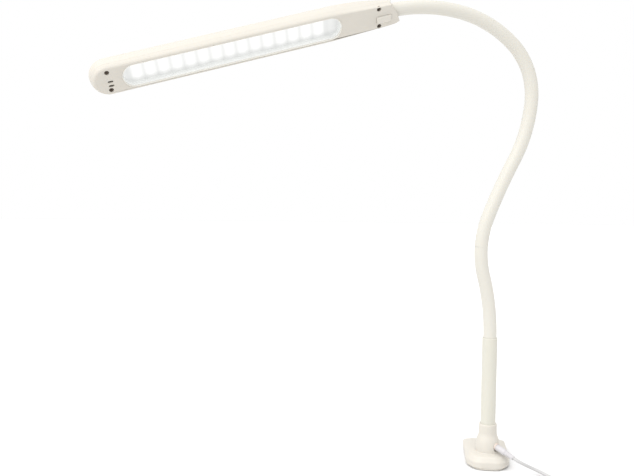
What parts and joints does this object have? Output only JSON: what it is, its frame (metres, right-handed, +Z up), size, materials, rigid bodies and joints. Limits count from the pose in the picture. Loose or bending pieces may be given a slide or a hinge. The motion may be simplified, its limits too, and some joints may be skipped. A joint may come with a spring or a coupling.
{
  "type": "clip on reading lamp",
  "caption": "LED reading lamp: slim wand head with a long lit window on a flexible gooseneck, rigid sleeve tube, small domed base to fasten to a clamp or table, and a thin DC supply lead.",
  "frame": {"origin": "middle of the base's underside, straight below the post's axis", "axes": "+Z up along the post, +Y towards the long rear end of the base, the head hangs out over -X"},
  "size_m": [0.4919, 0.203, 0.4922],
  "materials": {
    "ivory_plastic": "cream-white moulded ABS, satin",
    "foot_rubber": "grey elastomer, fine grain",
    "screw_steel": "zinc plated",
    "insert_brass": "turned",
    "sleeve_paint": "cream-white paint on a drawn tube",
    "neck_skin": "smooth soft PVC sleeve",
    "core_steel": "wound spring steel",
    "wire_sheath": "PVC insulation",
    "rim_gloss": "polished bevel",
    "tray_white": "white reflective",
    "diffuser_opal": "opal acrylic, lit",
    "board_white": "white solder resist",
    "led_yellow": "phosphor resin",
    "spreader_aluminium": "rolled",
    "board_green": "green solder resist",
    "part_black": "moulded",
    "plug_nickel": "nickel plated",
    "lead_vinyl": "cool white PVC",
    "tie_grey": "soft strap"
  },
  "bodies": {
    "base": {"base_shell": "ivory_plastic", "base_plate": "ivory_plastic", "base_pad": "foot_rubber", "plate_screws": "screw_steel", "threaded_inserts": "insert_brass", "grub_screw": "screw_steel", "sleeve_tube": "sleeve_paint", "neck_root_skin": "neck_skin", "neck_root_core": "core_steel", "base_wires": "wire_sheath", "jack_body": "part_black", "plug_barrel": "plug_nickel", "plug_body": "lead_vinyl", "strain_relief": "lead_vinyl", "lead": "lead_vinyl", "lead_coil": "lead_vinyl", "lead_tail": "lead_vinyl", "coil_tie": "tie_grey", "usb_plug_body": "lead_vinyl", "usb_plug_shell": "plug_nickel", "usb_plug_tongue": "tray_white"},
    "neck_link_1": {"neck_skin_1": "neck_skin", "neck_core_1": "core_steel", "neck_wire_1": "wire_sheath"},
    "neck_link_2": {"neck_skin_2": "neck_skin", "neck_core_2": "core_steel", "neck_wire_2": "wire_sheath"},
    "neck_link_3": {"neck_skin_3": "neck_skin", "neck_core_3": "core_steel", "neck_wire_3": "wire_sheath"},
    "neck_link_4": {"neck_skin_4": "neck_skin", "neck_core_4": "core_steel", "neck_wire_4": "wire_sheath"},
    "neck_link_5": {"neck_skin_5": "neck_skin", "neck_core_5": "core_steel", "neck_wire_5": "wire_sheath"},
    "neck_link_6": {"neck_skin_6": "neck_skin", "neck_core_6": "core_steel", "neck_wire_6": "wire_sheath"},
    "neck_link_7": {"neck_skin_7": "neck_skin", "neck_core_7": "core_steel", "neck_wire_7": "wire_sheath", "neck_stud": "insert_brass", "neck_nut": "insert_brass"},
    "head": {"head_upper_shell": "ivory_plastic", "head_lower_shell": "ivory_plastic", "head_screws": "screw_steel", "window_rim": "rim_gloss", "reflector_tray": "tray_white", "diffuser": "diffuser_opal", "led_board": "board_white", "leds": "led_yellow", "heat_spreader": "spreader_aluminium", "driver_board": "board_green", "driver_parts": "part_black", "switch_body": "part_black", "neck_bush": "tray_white", "head_wires": "wire_sheath"},
    "button": {"switch_button": "ivory_plastic", "switch_plunger": "part_black"}
  },
  "joints": [
    {"name": "lower_bend", "type": "hinge", "parent": "base", "child": "neck_link_1", "pos_m": [0, 0, 0.1426], "axis": [0.342, -0.9397, 0], "range_deg": [-30, 30]},
    {"name": "lower_side", "type": "hinge", "parent": "neck_link_1", "child": "neck_link_2", "pos_m": [-0.00825, -0.003, 0.20711], "axis": [-0.9055, -0.3296, -0.2672], "range_deg": [-30, 30]},
    {"name": "lower_bend_upper_half", "type": "hinge", "parent": "neck_link_2", "child": "neck_link_3", "pos_m": [-0.00483, -0.00176, 0.27114], "axis": [0.342, -0.9397, 0], "range_deg": [-30, 30]},
    {"name": "upper_side", "type": "hinge", "parent": "neck_link_3", "child": "neck_link_4", "pos_m": [0.02133, 0.00776, 0.33017], "axis": [-0.8258, -0.3006, 0.4772], "range_deg": [-30, 30]},
    {"name": "upper_bend", "type": "hinge", "parent": "neck_link_4", "child": "neck_link_5", "pos_m": [0.03863, 0.01406, 0.39233], "axis": [0.342, -0.9397, 0], "range_deg": [-30, 30]},
    {"name": "upper_bend_upper_half", "type": "hinge", "parent": "neck_link_5", "child": "neck_link_6", "pos_m": [0.01713, 0.00624, 0.45116], "axis": [0.342, -0.9397, 0], "range_deg": [-30, 30]},
    {"name": "head_nod", "type": "hinge", "parent": "neck_link_6", "child": "neck_link_7", "pos_m": [-0.03653, -0.0133, 0.48121], "axis": [0.342, -0.9397, 0], "range_deg": [-30, 30]},
    {"name": "head_roll", "type": "hinge", "parent": "neck_link_7", "child": "head", "pos_m": [-0.11101, -0.0404, 0.47982], "axis": [-0.9098, -0.3311, -0.2504], "range_deg": [-60, 60]},
    {"name": "switch_press", "type": "slide", "parent": "head", "child": "button", "axis": [-0.415, 0.7099, 0.5691], "range_m": [0, 0.001], "stiffness_N_per_m": 600}
  ],
  "couplings": [
    {"joint": "lower_bend_upper_half", "follows": "lower_bend", "ratio": 1},
    {"joint": "upper_bend_upper_half", "follows": "upper_bend", "ratio": 1}
  ]
}
